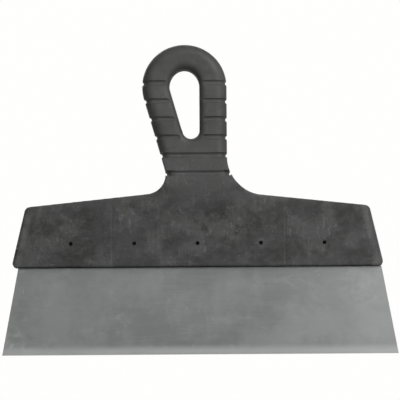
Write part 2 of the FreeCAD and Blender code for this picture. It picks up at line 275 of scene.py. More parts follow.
# %% [markdown]
# ## The loop and its two legs
#
# The grip is one thick rounded bar bent into a hoop, moulded in one piece with the rest. By hand
# it is drawn as its own cross-section, a plane with rounded corners: larger ones outside, where
# the palm closes round it, and smaller ones inside the window. The section is extruded up the
# right leg, spun round the loop's centre and extruded down the leaning left leg. Spinning keeps
# the bar's width and its roundings the same all the way, which a stretched ring wouldn't. At the
# end the window's top is raised a little, because the bar is thinnest at the top of the loop.

# %% Draw the bar's cross-section
LEG_OVERLAP = 3 * MM
LEG_FOOT_Z = NECK_FOOT_Z - LEG_OVERLAP
LEG_X = GRIP_RIGHT - LEG_WIDTH / 2
OUTER_STEPS = 10
INNER_STEPS = 7

bpy.ops.mesh.primitive_plane_add(size=1, location=(LEG_X, 0, LEG_FOOT_Z))
loop_bar = settle(bpy.context.object)
open_piece(loop_bar)
pick_all()
bpy.ops.transform.resize(
    value=(LEG_WIDTH, 2 * GRIP_HALF, 1), center_override=(LEG_X, 0, LEG_FOOT_Z)
)
pick("VERT", lambda p, v: p.x > LEG_X)
bpy.ops.mesh.bevel(offset=OUTER_ROUNDING, segments=OUTER_STEPS, affect="VERTICES")
pick("VERT", lambda p, v: p.x < WINDOW_RIGHT + NEAR and abs(p.y) > GRIP_HALF - NEAR)
bpy.ops.mesh.bevel(offset=INNER_ROUNDING, segments=INNER_STEPS, affect="VERTICES")
close_piece()
print("cross-section of", len(loop_bar.data.vertices), "points")

# %% Bend the bar
LEFT_LENGTH = (LOOP_Z - LOOP_RADIUS * sin(LEAN) - LEG_FOOT_Z) / cos(LEAN)
SPIN_STEPS = 72
WINDOW_CROWN = 1.4 * MM
CROWNED_RADIUS = WINDOW_RADIUS + INNER_ROUNDING + NEAR

open_piece(loop_bar)
pick("FACE", lambda p, f: True)
bpy.ops.mesh.extrude_region_move(TRANSFORM_OT_translate={"value": (0, 0, LOOP_Z - LEG_FOOT_Z)})
bpy.ops.mesh.spin(
    steps=SPIN_STEPS, angle=pi + LEAN, center=(LOOP_X, 0, LOOP_Z), axis=(0, 1, 0)
)
bpy.ops.mesh.extrude_region_move(
    TRANSFORM_OT_translate={"value": (LEFT_LENGTH * sin(LEAN), 0, -LEFT_LENGTH * cos(LEAN))}
)
pick("VERT", lambda p, v: p.z > LOOP_Z and hypot(p.x - LOOP_X, p.z - LOOP_Z) < CROWNED_RADIUS)
bpy.ops.transform.resize(
    value=(1, 1, 1 + WINDOW_CROWN / WINDOW_RADIUS), center_override=(LOOP_X, 0, LOOP_Z)
)
bpy.ops.mesh.select_all(action="SELECT")
bpy.ops.mesh.remove_doubles(threshold=MERGE)
bpy.ops.mesh.normals_make_consistent(inside=False)
close_piece()
say(loop_bar)

# %% [markdown]
# ## The web below the window
#
# Between the legs the moulding is solid up to the window's round foot. That web is a cube pushed
# into the space between the legs, and slanted with the left one. The foot is rounded like the
# rest of the window, so a straight hole would leave it sharp. A disc is drawn across the foot
# instead and extruded towards both faces in short steps that grow wider and wider, like the bell
# of a trumpet, and that shape is taken out of the web.

# %% Fill in the web
WEB_LEFT = -16 * MM
WEB_RIGHT = 5 * MM
WEB_OVERLAP = 2 * MM
WEB_FOOT_Z = NECK_FOOT_Z - WEB_OVERLAP

bpy.ops.mesh.primitive_cube_add(size=1, location=(0, 0, 0))
web = bpy.context.object
open_piece(web)
pick_all()
bpy.ops.transform.resize(value=(WEB_RIGHT - WEB_LEFT, 2 * GRIP_HALF, FOOT_Z - WEB_FOOT_Z))
bpy.ops.transform.translate(value=((WEB_LEFT + WEB_RIGHT) / 2, 0, (FOOT_Z + WEB_FOOT_Z) / 2))
pick("VERT", lambda p, v: p.x < FOOT_X and p.z < FOOT_Z - NEAR)
bpy.ops.transform.translate(value=((FOOT_Z - WEB_FOOT_Z) * tan(LEAN), 0, 0))
close_piece()
say(web)

# %% Shape the foot of the window
FOOT_SIDES = 64
BELL_STEPS = 8
foot_centre = (FOOT_X, 0, FOOT_Z)
bell = [(GRIP_HALF - INNER_ROUNDING, FOOT_RADIUS)]
for step in range(1, BELL_STEPS + 1):
    turn = step / BELL_STEPS * pi / 2
    bell.append(
        (GRIP_HALF - INNER_ROUNDING * (1 - sin(turn)), FOOT_RADIUS + INNER_ROUNDING * (1 - cos(turn)))
    )
bell.append((GRIP_HALF + PAST, FOOT_RADIUS + INNER_ROUNDING))

bpy.ops.mesh.primitive_circle_add(
    vertices=FOOT_SIDES, radius=FOOT_RADIUS, location=foot_centre, rotation=(pi / 2, 0, 0),
    fill_type="NGON"
)
foot_plug = settle(bpy.context.object)
open_piece(foot_plug)
for side in (-1, 1):
    pick("FACE", lambda p, f: abs(p.y) < MERGE and len(f.verts) == FOOT_SIDES)
    depth, radius = 0.0, FOOT_RADIUS
    for reach, wide in bell:
        bpy.ops.mesh.extrude_region_move(TRANSFORM_OT_translate={"value": (0, side * (reach - depth), 0)})
        bpy.ops.transform.resize(value=(wide / radius, 1, wide / radius), center_override=foot_centre)
        depth, radius = reach, wide
    if side < 0:
        bpy.ops.mesh.select_all(action="SELECT")
        bpy.ops.mesh.normals_make_consistent(inside=False)
close_piece()
say(foot_plug)


# %% Take the foot out of the web
def cut_away(piece, cutter):
    """Takes the cutter's shape out of the piece and deletes the cutter."""
    add_finished(piece, "BOOLEAN", operation="DIFFERENCE", solver="EXACT", object=cutter)
    bpy.data.objects.remove(cutter)
    return piece


cut_away(web, foot_plug)
say(web)

# %% [markdown]
# ## The head
#
# The head is a flat wedge, thinnest at the mouth where the blade comes out, whose top rises to
# the neck. It starts as a cube drawn in to the head's slanted ends, is cut where the neck stands,
# and its middle is lifted and extruded into the neck. The corners of the outline are bevelled
# first, with the two large flares that lead into the neck, and then every long edge gets a bevel
# whose width grows up the neck, so that the head's small rounding runs into the grip's large one.

# %% Shape the wedge
HEAD_END_HALF = HEAD_HALF - (HEAD_END_Z - MOUTH) * tan(HEAD_SLANT)

bpy.ops.mesh.primitive_cube_add(size=1, location=(0, 0, 0))
head = bpy.context.object
open_piece(head)
pick_all()
bpy.ops.transform.resize(value=(2 * HEAD_HALF, 2 * MOUTH_HALF, HEAD_END_Z - MOUTH))
bpy.ops.transform.translate(value=(HEAD_X, 0, (HEAD_END_Z + MOUTH) / 2))
pick("VERT", lambda p, v: p.z > HEAD_END_Z - NEAR)
bpy.ops.transform.resize(
    value=(HEAD_END_HALF / HEAD_HALF, flat_half(HEAD_END_Z) / MOUTH_HALF, 1),
    center_override=(HEAD_X, 0, HEAD_END_Z),
)
neck_sides = (grip_left(SHOULDER_Z), GRIP_RIGHT)
for side in neck_sides:
    bpy.ops.mesh.select_all(action="SELECT")
    bpy.ops.mesh.bisect(plane_co=(side, 0, 0), plane_no=(1, 0, 0))
pick("VERT", lambda p, v: p.z > HEAD_END_Z - NEAR and min(abs(p.x - side) for side in neck_sides) < NEAR)
bpy.ops.transform.translate(value=(0, 0, SHOULDER_Z - HEAD_END_Z))
bpy.ops.transform.resize(
    value=(1, SHOULDER_HALF / flat_half(HEAD_END_Z), 1), center_override=(0, 0, SHOULDER_Z)
)
pick("FACE", lambda p, f: p.z > SHOULDER_Z - NEAR)
bpy.ops.mesh.extrude_region_move(TRANSFORM_OT_translate={"value": (0, 0, STUB_Z - SHOULDER_Z)})
pick("VERT", lambda p, v: p.z > STUB_Z - NEAR and p.x < 0)
bpy.ops.transform.translate(value=(grip_left(STUB_Z) - grip_left(SHOULDER_Z), 0, 0))
close_piece()
say(head)

# %% Round the corners of its outline
top_left = atan2(SHOULDER_Z - HEAD_END_Z, grip_left(SHOULDER_Z) - HEAD_X + HEAD_END_HALF)
top_right = atan2(SHOULDER_Z - HEAD_END_Z, HEAD_X + HEAD_END_HALF - GRIP_RIGHT)


def round_corner(x, z, radius, turn, segments):
    """Bevels the edge that runs front to back at x, z into an arc of the radius."""
    pick("EDGE", lambda p, e: abs(p.y) < NEAR and hypot(p.x - x, p.z - z) < NEAR)
    bpy.ops.mesh.bevel(offset=radius * tan(turn / 2), segments=segments, affect="EDGES")


open_piece(head)
for side, slope in ((-1, top_left), (1, top_right)):
    round_corner(HEAD_X + side * HEAD_HALF, MOUTH, LOW_CORNER, pi / 2 + HEAD_SLANT, 8)
    round_corner(HEAD_X + side * HEAD_END_HALF, HEAD_END_Z, TOP_CORNER, pi / 2 - HEAD_SLANT - slope, 8)
round_corner(grip_left(SHOULDER_Z), SHOULDER_Z, FLARE_LEFT, pi / 2 + LEAN - top_left, 20)
round_corner(GRIP_RIGHT, SHOULDER_Z, FLARE_RIGHT, pi / 2 - top_right, 24)
close_piece()
say(head)

# %% Round its long edges, more and more up the neck
weights = head.data.attributes.new("bevel_weight_edge", "FLOAT", "EDGE")
for edge in head.data.edges:
    ends = [head.data.vertices[i].co for i in edge.vertices]
    middle = (ends[0] + ends[1]) / 2
    faces_turn = abs(ends[0].y - ends[1].y) < 1 * MM and abs(middle.y) > MOUTH_HALF - NEAR
    upright = abs(ends[0].x - ends[1].x) < NEAR
    inside = upright and abs(middle.x) < HEAD_END_HALF / 2 and middle.z < HEAD_END_Z
    if faces_turn and not inside:
        growth = smooth((middle.z - SHOULDER_Z) / (NECK_TOP_Z - SHOULDER_Z))
        rounding = HEAD_ROUNDING + growth * (NECK_ROUNDING - HEAD_ROUNDING)
        weights.data[edge.index].value = rounding / NECK_ROUNDING
add_finished(
    head, "BEVEL", limit_method="WEIGHT", width=NECK_ROUNDING, segments=5, offset_type="OFFSET"
)
say(head)

# %% [markdown]
# ## The step from the head out to the grip
#
# The grip is thicker than the head, and the moulding steps out over about a centimetre of neck.
# Rows are cut across that stretch and each row is widened to the depth that face_half gives, on
# the bar, the web and the head alike, so that the three meet in one surface.

# %% Step the neck
ROW = 1 * MM


def step_neck(piece, plain_half):
    """Cuts rows over the neck and scales each in depth to the finished profile."""
    open_piece(piece)
    count = int((NECK_TOP_Z - NECK_FOOT_Z) / ROW) + 4
    cut_rows([NECK_FOOT_Z + (i - 1) * ROW for i in range(count)])
    close_piece()
    for vertex in piece.data.vertices:
        height = vertex.co.z
        if height < STUB_Z + NEAR:
            vertex.co.y *= face_half(height) / plain_half(height)


step_neck(head, flat_half)
for piece in (loop_bar, web):
    step_neck(piece, lambda height: GRIP_HALF)
    say(piece)

# %% [markdown]
# ## One moulding out of three
#
# The bar, the web and the head overlap. A voxel remesh wraps one skin round all three, as the
# plastic fills one mould, and it softens the creases where they cross. A few rounds of smoothing
# take out the faint steps that the voxels leave.

# %% Wrap the handle in one skin
SKIN_VOXEL = 0.66 * MM

handle = join([loop_bar, web, head], "handle_moulding")
add_finished(handle, "REMESH", mode="VOXEL", voxel_size=SKIN_VOXEL, adaptivity=0.0)
add_finished(handle, "SMOOTH", factor=0.5, iterations=4)
say(handle)

# %% [markdown]
# ## The neck's run into the head
#
# On the real moulding the thick neck doesn't stop at the head: it fades out over the head's face
# without an edge. The skin now has points everywhere, so each point near the foot of the
# neck is moved out in depth by a share that falls off downwards and to both sides.

# %% Fair the neck into the head
FADE_FOOT_Z = MOUTH + 26 * MM
FADE_CORE = 13 * MM
FADE_SIDE = 24 * MM
NECK_X = (grip_left(SHOULDER_Z) + GRIP_RIGHT) / 2


def faired_half(x, height):
    """Half the depth of the moulding where the neck fades out over the head."""
    rise = smooth((height - FADE_FOOT_Z) / (NECK_TOP_Z - FADE_FOOT_Z))
    core = FADE_CORE + FADE_SIDE * smooth((height - NECK_FOOT_Z) / (NECK_TOP_Z - NECK_FOOT_Z))
    aside = 1 - smooth((abs(x - NECK_X) - core) / FADE_SIDE)
    return flat_half(height) + rise * aside * (GRIP_HALF - flat_half(height))


for vertex in handle.data.vertices:
    x, height = vertex.co.x, vertex.co.z
    if FADE_FOOT_Z < height < NECK_TOP_Z:
        vertex.co.y *= max(faired_half(x, height), face_half(height)) / face_half(height)
say(handle)

# %% [markdown]
# ## The grip's grooves
#
# Six levels of shallow groove keep the hand from slipping: two run right round the neck and four
# cross each leg, from a narrow land beside the window round the outside. A groove's cutter is
# drawn as a rounded outline just off the surface, given a round section as a curve, and turned
# back into a mesh. An outline with its inner end cut off makes the leg grooves.

# %% Sizes of the grooves
GROOVE_RADIUS = 2.0 * MM
GROOVE_DEPTH = 0.95 * MM
GROOVE_OFF = GROOVE_RADIUS - GROOVE_DEPTH
GROOVE_LAND = 2.5 * MM
GROOVE_PITCH = 11.5 * MM
LOWEST_GROOVE = MOUTH + 58.7 * MM
NECK_GROOVES = 2
LEG_GROOVES = 4


def flare_reach(height, radius, turn, lean):
    """How far a flare stands out from the grip's side at a height above the shoulder."""
    start = SHOULDER_Z + radius * tan(turn / 2) * cos(lean)
    below = max(start - height, 0)
    return radius - sqrt(max(radius * radius - below * below, 0))


def window_left(height):
    """X of the leaning left side of the window."""
    return LOOP_X - WINDOW_RADIUS / cos(LEAN) + (LOOP_Z - height) * tan(LEAN)


def groove_cutter(height, left, right, keep_from=None, keep_to=None):
    """Makes a round-section ring round the grip at a height, or the part of it to one side."""
    across, deep = right - left + 2 * GROOVE_OFF, 2 * (face_half(height) + GROOVE_OFF)
    centre = ((left + right) / 2, 0, height)
    bpy.ops.mesh.primitive_plane_add(size=1, location=(0, 0, 0))
    ring = bpy.context.object
    open_piece(ring)
    pick_all()
    bpy.ops.transform.resize(value=(across, deep, 1))
    bpy.ops.transform.translate(value=centre)
    bpy.ops.mesh.bevel(offset=OUTER_ROUNDING + GROOVE_OFF, segments=10, affect="VERTICES")
    bpy.ops.mesh.select_all(action="SELECT")
    bpy.ops.mesh.delete(type="ONLY_FACE")
    for place, outward in ((keep_from, -1), (keep_to, 1)):
        if place is not None:
            bpy.ops.mesh.select_all(action="SELECT")
            bpy.ops.mesh.bisect(plane_co=(place, 0, 0), plane_no=(outward, 0, 0), clear_outer=True)
    close_piece()
    bpy.ops.object.convert(target="CURVE")
    curve = bpy.context.object
    curve.data.bevel_depth = GROOVE_RADIUS
    curve.data.bevel_resolution = 6
    curve.data.use_fill_caps = True
    bpy.ops.object.convert(target="MESH")
    return bpy.context.object


# %% Cut the grooves
cutters = []
for level in range(NECK_GROOVES + LEG_GROOVES):
    height = LOWEST_GROOVE + level * GROOVE_PITCH
    left = grip_left(height) - flare_reach(height, FLARE_LEFT, pi / 2 + LEAN - top_left, LEAN)
    right = GRIP_RIGHT + flare_reach(height, FLARE_RIGHT, pi / 2 - top_right, 0)
    left = max(left, LOOP_X - LOOP_RADIUS)
    if level < NECK_GROOVES:
        cutters.append(groove_cutter(height, left, right))
    else:
        inner = max(window_left(height), LOOP_X - WINDOW_RADIUS)
        cutters.append(groove_cutter(height, left, right, keep_to=inner - GROOVE_LAND))
        cutters.append(groove_cutter(height, left, right, keep_from=WINDOW_RIGHT + GROOVE_LAND))
    print("groove at", round(height / MM, 1), "from", round(left / MM, 1), "to", round(right / MM, 1))
groove_set = join(cutters, "groove_cutters")
open_piece(groove_set)
bpy.ops.mesh.select_all(action="SELECT")
bpy.ops.mesh.normals_make_consistent(inside=False)
close_piece()
cut_away(handle, groove_set)
say(handle)

# %% [markdown]
# ## The mould's witness lines
#
# The mould has inserts that meet a quarter of the way in from each end of the head. Plastic
# creeps into the joint and leaves a hair-thin raised line up both faces. A bar as thick as the
# head plus the two lines is tapered like the head and joined to it.

# %% Raise the witness lines
WITNESS_PLACE = 54.6 * MM
WITNESS_WIDTH = 0.5 * MM
WITNESS_PROUD = 0.12 * MM
WITNESS_LOW = MOUTH + HEAD_ROUNDING
WITNESS_HIGH = HEAD_END_Z + 1.5 * MM


def add_to(piece, extra):
    """Joins the extra piece's shape to the piece and deletes the extra."""
    add_finished(piece, "BOOLEAN", operation="UNION", solver="EXACT", object=extra)
    bpy.data.objects.remove(extra)
    return piece


for side in (-1, 1):
    bpy.ops.mesh.primitive_cube_add(size=1, location=(0, 0, 0))
    witness = bpy.context.object
    open_piece(witness)
    pick_all()
    low_half = flat_half(WITNESS_LOW) + WITNESS_PROUD
    high_half = flat_half(WITNESS_HIGH) + WITNESS_PROUD
    bpy.ops.transform.resize(value=(WITNESS_WIDTH, 2 * low_half, WITNESS_HIGH - WITNESS_LOW))
    bpy.ops.transform.translate(
        value=(HEAD_X + side * WITNESS_PLACE, 0, (WITNESS_HIGH + WITNESS_LOW) / 2)
    )
    pick("VERT", lambda p, v: p.z > WITNESS_HIGH - NEAR)
    bpy.ops.transform.resize(value=(1, high_half / low_half, 1), center_override=(0, 0, 0))
    pick("EDGE", lambda p, e: abs(e.verts[0].co.z - e.verts[1].co.z) > 1 * MM)
    bpy.ops.mesh.bevel(offset=WITNESS_WIDTH * 0.3, segments=2, affect="EDGES")
    close_piece()
    add_to(handle, witness)
say(handle)

# %% [markdown]
# ## Bores and slot
#
# Five pins cross the head and the sheet. Each sits in a bore that goes right through, and the
# sheet sits in a slot that opens at the mouth.

# %% Cut the bores and the slot
PIN_COUNT = 5
PIN_SIDES = 32
PIN_RADIUS = (pins_high.z - pins_low.z) / 2
PIN_Z = (pins_high.z + pins_low.z) / 2
PIN_PITCH = (pins_high.x - pins_low.x - 2 * PIN_RADIUS) / (PIN_COUNT - 1)
PIN_PLACES = [pins_low.x + PIN_RADIUS + i * PIN_PITCH for i in range(PIN_COUNT)]
SLOT_ROOM = 0.05 * MM
SLOT_END_ROOM = 0.5 * MM

bores = []
for place in PIN_PLACES:
    bpy.ops.mesh.primitive_cylinder_add(
        vertices=PIN_SIDES, radius=PIN_RADIUS, depth=4 * MOUTH_HALF,
        location=(place, 0, PIN_Z), rotation=(pi / 2, 0, 0)
    )
    bores.append(settle(bpy.context.object))
cut_away(handle, join(bores, "bore_cutters"))

SLOT_FOOT = MOUTH - PAST
slot_high = tang_high.z + SLOT_ROOM
bpy.ops.mesh.primitive_cube_add(size=1, location=(0, 0, 0))
slot = bpy.context.object
open_piece(slot)
pick_all()
bpy.ops.transform.resize(
    value=(
        tang_high.x - tang_low.x + 2 * SLOT_END_ROOM,
        tang_high.y - tang_low.y + 2 * SLOT_ROOM,
        slot_high - SLOT_FOOT,
    )
)
bpy.ops.transform.translate(value=((tang_high.x + tang_low.x) / 2, 0, (slot_high + SLOT_FOOT) / 2))
close_piece()
cut_away(handle, slot)
smooth_faces(handle, 32 * DEG)
say(handle)

# %% [markdown]
# ## The blade
#
# The blade is one sheet of hardened spring steel: the part that shows, and a tang above it that
# stays in the slot. It is cut from a flat cube with slanted ends. Its lowest strip is ground a
# little thinner on both faces, which makes the working edge, and rows are cut all the way up
# because a sheet can only bend smoothly in a render if it has points to bend at.

# %% Cut the sheet
BLADE_HALF = blade_high.x
SHEET_HALF_DEPTH = blade_high.y
BLADE_SLANT = 10.6 * DEG
EDGE_HALF_DEPTH = 0.15 * MM
EDGE_BAND = 3.2 * MM
SHEET_TOP = MOUTH
SHEET_ROWS = 20
TANG_HALF = tang_high.x
SHEET_TOP_HALF = BLADE_HALF - SHEET_TOP * tan(BLADE_SLANT)

bpy.ops.mesh.primitive_cube_add(size=1, location=(0, 0, 0))
sheet = bpy.context.object
open_piece(sheet)
pick_all()
bpy.ops.transform.resize(value=(2 * BLADE_HALF, 2 * SHEET_HALF_DEPTH, SHEET_TOP))
bpy.ops.transform.translate(value=(0, 0, SHEET_TOP / 2))
pick("VERT", lambda p, v: p.z > SHEET_TOP - NEAR)
bpy.ops.transform.resize(value=(SHEET_TOP_HALF / BLADE_HALF, 1, 1), center_override=(0, 0, 0))
for side in (-1, 1):
    bpy.ops.mesh.select_all(action="SELECT")
    bpy.ops.mesh.bisect(plane_co=(side * TANG_HALF, 0, 0), plane_no=(1, 0, 0))
pick("FACE", lambda p, f: p.z > SHEET_TOP - NEAR and abs(p.x) < TANG_HALF)
bpy.ops.mesh.extrude_region_move(TRANSFORM_OT_translate={"value": (0, 0, tang_high.z - SHEET_TOP)})
cut_rows([EDGE_BAND + (SHEET_TOP - EDGE_BAND) * i / SHEET_ROWS for i in range(SHEET_ROWS)])
pick("VERT", lambda p, v: p.z < NEAR)
bpy.ops.transform.resize(value=(1, EDGE_HALF_DEPTH / SHEET_HALF_DEPTH, 1), center_override=(0, 0, 0))
close_piece()
sheet.name = sheet.data.name = "blade_sheet"
say(sheet)

# %% Punch the holes for the pins
HOLE_ROOM = 0.1 * MM
punches = []
for place in PIN_PLACES:
    bpy.ops.mesh.primitive_cylinder_add(
        vertices=PIN_SIDES, radius=PIN_RADIUS + HOLE_ROOM, depth=4 * SHEET_HALF_DEPTH,
        location=(place, 0, PIN_Z), rotation=(pi / 2, 0, 0)
    )
    punches.append(settle(bpy.context.object))
cut_away(sheet, join(punches, "hole_punches"))
smooth_faces(sheet, 20 * DEG)
say(sheet)

# %% [markdown]
# ## The pins
#
# Each pin is a short length of steel wire pressed in below the surface. One is turned from a
# cylinder with its end edges bevelled and its ends slightly crowned, and the others are copies.

# %% Turn one pin and copy it
PIN_CHAMFER = 0.3 * MM
PIN_CROWN = 0.15 * MM
PIN_CROWN_STEPS = ((0.28, 0.6), (0.28, 0.3), (0.20, 0.1))  # inset in radii, lift in crowns

bpy.ops.mesh.primitive_cylinder_add(
    vertices=PIN_SIDES, radius=PIN_RADIUS, depth=pins_high.y - pins_low.y - 2 * PIN_CROWN,
    location=(PIN_PLACES[0], 0, PIN_Z), rotation=(pi / 2, 0, 0)
)
pin = settle(bpy.context.object)
open_piece(pin)
pick("EDGE", lambda p, e: abs(p.y) > pins_high.y - PIN_CROWN - NEAR)
bpy.ops.mesh.bevel(offset=PIN_CHAMFER, segments=3, affect="EDGES")
for side in (-1, 1):
    pick("FACE", lambda p, f: side * p.y > pins_high.y - PIN_CROWN - NEAR)
    for inset, lift in PIN_CROWN_STEPS:
        bpy.ops.mesh.inset(thickness=PIN_RADIUS * inset)
        bpy.ops.transform.translate(value=(0, side * PIN_CROWN * lift, 0))
close_piece()
smooth_faces(pin, 40 * DEG)
pins = [pin]
for place in PIN_PLACES[1:]:
    select_only(pin)
    bpy.ops.object.duplicate(linked=False)
    bpy.ops.transform.translate(value=(place - PIN_PLACES[0], 0, 0))
    pins.append(settle(bpy.context.object))
for number, each in enumerate(pins, 1):
    each.name = each.data.name = f"head_pin_{number}"
    say(each)

# %% [markdown]
# ## Materials
#
# Each finish is a small network of nodes on the Principled shader. Patterns read Object
# coordinates, so they stay on the piece, and a pattern's scale is one over the size of what it
# shows, in metres.

# %% Helpers for materials
def linear(colour):
    """Turns an sRGB hex colour such as 4f4f4e into the linear values that a shader takes."""
    channels = [int(colour[i:i + 2], 16) / 255 for i in (0, 2, 4)]
    return tuple(c / 12.92 if c <= 0.04045 else ((c + 0.055) / 1.055) ** 2.4 for c in channels) + (1,)


def add_node(tree, kind, values=None, links=None, **settings):
    """Adds one node with its settings, its socket values and the outputs that feed it."""
    node = tree.nodes.new("ShaderNode" + kind)
    for name, value in settings.items():
        setattr(node, name, value)
    for socket, value in (values or {}).items():
        node.inputs[socket].default_value = value
    for socket, source in (links or {}).items():
        tree.links.new(source, node.inputs[socket])
    return node


def new_material(name, **shader):
    """Makes a material and returns it with its tree, its shader and its Object coordinates."""
    material = bpy.data.materials.new(name)
    material.use_nodes = True
    tree = material.node_tree
    principled = tree.nodes["Principled BSDF"]
    for socket, value in shader.items():
        principled.inputs[socket.replace("_", " ")].default_value = value
    place = add_node(tree, "TexCoord").outputs["Object"]
    return material, tree, principled, place


def noise(tree, place, size, detail=3.0, roughness=0.55, stretch=(1, 1, 1), distortion=0.0):
    """A noise whose features are about size metres, stretched along an axis if asked."""
    mapping = add_node(tree, "Mapping", {"Scale": tuple(1 / (size * s) for s in stretch)}, {"Vector": place})
    values = {"Scale": 1.0, "Detail": detail, "Roughness": roughness, "Distortion": distortion}
    return add_node(tree, "TexNoise", values, {"Vector": mapping.outputs["Vector"]}).outputs["Fac"]


def spread(tree, source, low, high, to_low=0.0, to_high=1.0):
    """Maps a value's range onto another and keeps it inside."""
    return add_node(
        tree, "MapRange", {"From Min": low, "From Max": high, "To Min": to_low, "To Max": to_high},
        {"Value": source}, interpolation_type="SMOOTHSTEP"
    ).outputs["Result"]


def blend_colours(tree, share, first, second, kind="MIX"):
    """Mixes two colours, each a hex value or another node's output, by a share."""
    values, links = {}, {}
    for socket, colour in (("Color1", first), ("Color2", second)):
        if isinstance(colour, str):
            values[socket] = linear(colour)
        else:
            links[socket] = colour
    if isinstance(share, float):
        values["Fac"] = share
    else:
        links["Fac"] = share
    return add_node(tree, "MixRGB", values, links, blend_type=kind).outputs["Color"]


def multiply(tree, first, second):
    """The product of two outputs, or of an output and a number."""
    links, values = {0: first}, {}
    if isinstance(second, (int, float)):
        values[1] = second
    else:
        links[1] = second
    return add_node(tree, "Math", values, links, operation="MULTIPLY").outputs["Value"]


# %% [markdown]
# ### The handle's plastic
#
# The handle is injection-moulded polypropylene coloured charcoal, the cheap, slightly waxy kind.
# It is dull, with cloudy patches where the melt met, short pale streaks where it flowed round the pins and
# into the neck, light scuffs from use, and a very fine eggshell grain from the mould. The neck is also
# painted paler as a whole: painted light against the shade of its step out to the grip.
# A band along both ends of the head is painted paler, a painted highlight where their rounding turns, and
# the witness lines are painted paler too.

# %% Moulded polypropylene
plastic, tree, shader, place = new_material(
    "charcoal_moulded_polypropylene", Roughness=0.6, IOR=1.49, Metallic=0.0
)
parts = add_node(tree, "SeparateXYZ", links={"Vector": place})
height = parts.outputs["Z"]
on_head = spread(tree, height, 0.132, 0.112)
clouds = spread(tree, noise(tree, place, 20 * MM, 4, 0.65, (1.5, 1, 1)), 0.42, 0.60)
mottle = spread(tree, noise(tree, place, 4 * MM, 6, 0.75), 0.42, 0.64)
drift = noise(tree, place, 14 * MM, 4, 0.65)
streaks = spread(tree, noise(tree, place, 1.8 * MM, 6, 0.75, (1, 1, 2.6), 0.8), 0.50, 0.72)
scuffs = spread(tree, noise(tree, place, 1.2 * MM, 5, 0.7, (7, 1, 1)), 0.56, 0.78)
specks = spread(tree, noise(tree, place, 1.2 * MM, 2, 0.6), 0.70, 0.78)
grip_colour = blend_colours(tree, clouds, "444442", "4b4b4a")
head_colour = blend_colours(tree, clouds, "232320", "353538")
colour = blend_colours(tree, on_head, grip_colour, head_colour)
colour = blend_colours(tree, multiply(tree, mottle, multiply(tree, on_head, 0.65)), colour, "464645")
rubbed = multiply(tree, spread(tree, drift, 0.44, 0.62), spread(tree, on_head, 0, 1, 0.25, 1.0))
colour = blend_colours(tree, multiply(tree, rubbed, 0.45), colour, "565655")
colour = blend_colours(tree, multiply(tree, streaks, multiply(tree, rubbed, 0.8)), colour, "70706d")
colour = blend_colours(tree, multiply(tree, scuffs, multiply(tree, on_head, 0.6)), colour, "686866")
colour = blend_colours(tree, multiply(tree, specks, multiply(tree, on_head, 0.8)), colour, "8c8c88")
# Painted light: the band over the neck is painted paler, against the shade that the step out to the grip
# takes; the extra streaks there are the plastic's flow marks.
neck_painted_light_band = multiply(
    tree, spread(tree, height, SHOULDER_Z - 12 * MM, SHOULDER_Z + 2 * MM),
    spread(tree, height, LOWEST_GROOVE + 24 * MM, LOWEST_GROOVE),
)
colour = blend_colours(tree, multiply(tree, neck_painted_light_band, 0.55), colour, "525251")
colour = blend_colours(
    tree, multiply(tree, neck_painted_light_band, spread(tree, streaks, 0, 1, 0, 0.45)), colour, "6c6c6a"
)

# %% The painted highlight along both ends of the head
from_middle = add_node(
    tree, "Math", {1: HEAD_X}, {0: parts.outputs["X"]}, operation="SUBTRACT"
).outputs["Value"]
out = add_node(tree, "Math", links={0: from_middle}, operation="ABSOLUTE").outputs["Value"]
slanted = add_node(
    tree, "Math", {1: tan(HEAD_SLANT)}, {0: height, 2: out}, operation="MULTIPLY_ADD"
).outputs["Value"]
END_LINE = HEAD_HALF + MOUTH * tan(HEAD_SLANT)
# A band from 1.2 to 7 mm in from each slanted end of the head is painted paler: a painted highlight where
# the end's rounding turns, broken up by the drift noise.
end_painted_highlight = multiply(
    tree, spread(tree, slanted, END_LINE - 7 * MM, END_LINE - 4 * MM),
    spread(tree, slanted, END_LINE - 1.2 * MM, END_LINE - 2.8 * MM),
)
end_painted_highlight = multiply(tree, end_painted_highlight, multiply(tree, on_head, spread(tree, drift, 0.3, 0.6, 0.15, 0.6)))
colour = blend_colours(tree, end_painted_highlight, colour, "5f5f5e")
tree.links.new(spread(tree, mottle, 0, 1, 0.56, 0.70), shader.inputs["Roughness"])

# %% The paler witness lines
beside = add_node(
    tree, "Math", {1: WITNESS_PLACE}, {0: out}, operation="SUBTRACT"
).outputs["Value"]
off_line = add_node(tree, "Math", links={0: beside}, operation="ABSOLUTE").outputs["Value"]
# The witness lines are painted paler, fading out towards their tops.
on_line = multiply(
    tree, spread(tree, off_line, 1.2 * WITNESS_WIDTH, 0.4 * WITNESS_WIDTH),
    spread(tree, drift, 0.35, 0.60, 0.1, 0.5),
)
on_line = multiply(tree, on_line, spread(tree, height, WITNESS_HIGH, WITNESS_HIGH - 3 * MM))
colour = blend_colours(tree, on_line, colour, "5c5c5a")
tree.links.new(colour, shader.inputs["Base Color"])

# %% The mould's grain and the sink waves
grain = noise(tree, place, 0.7 * MM, 3, 0.6)
waves = noise(tree, place, 7 * MM, 3, 0.55)
low_bump = add_node(tree, "Bump", {"Strength": 0.45, "Distance": 0.8 * MM}, {"Height": waves})
fine_bump = add_node(
    tree, "Bump", {"Strength": 0.35, "Distance": 0.08 * MM},
    {"Height": grain, "Normal": low_bump.outputs["Normal"]}
)
tree.links.new(fine_bump.outputs["Normal"], shader.inputs["Normal"])
print(plastic.name, len(tree.nodes), "nodes")
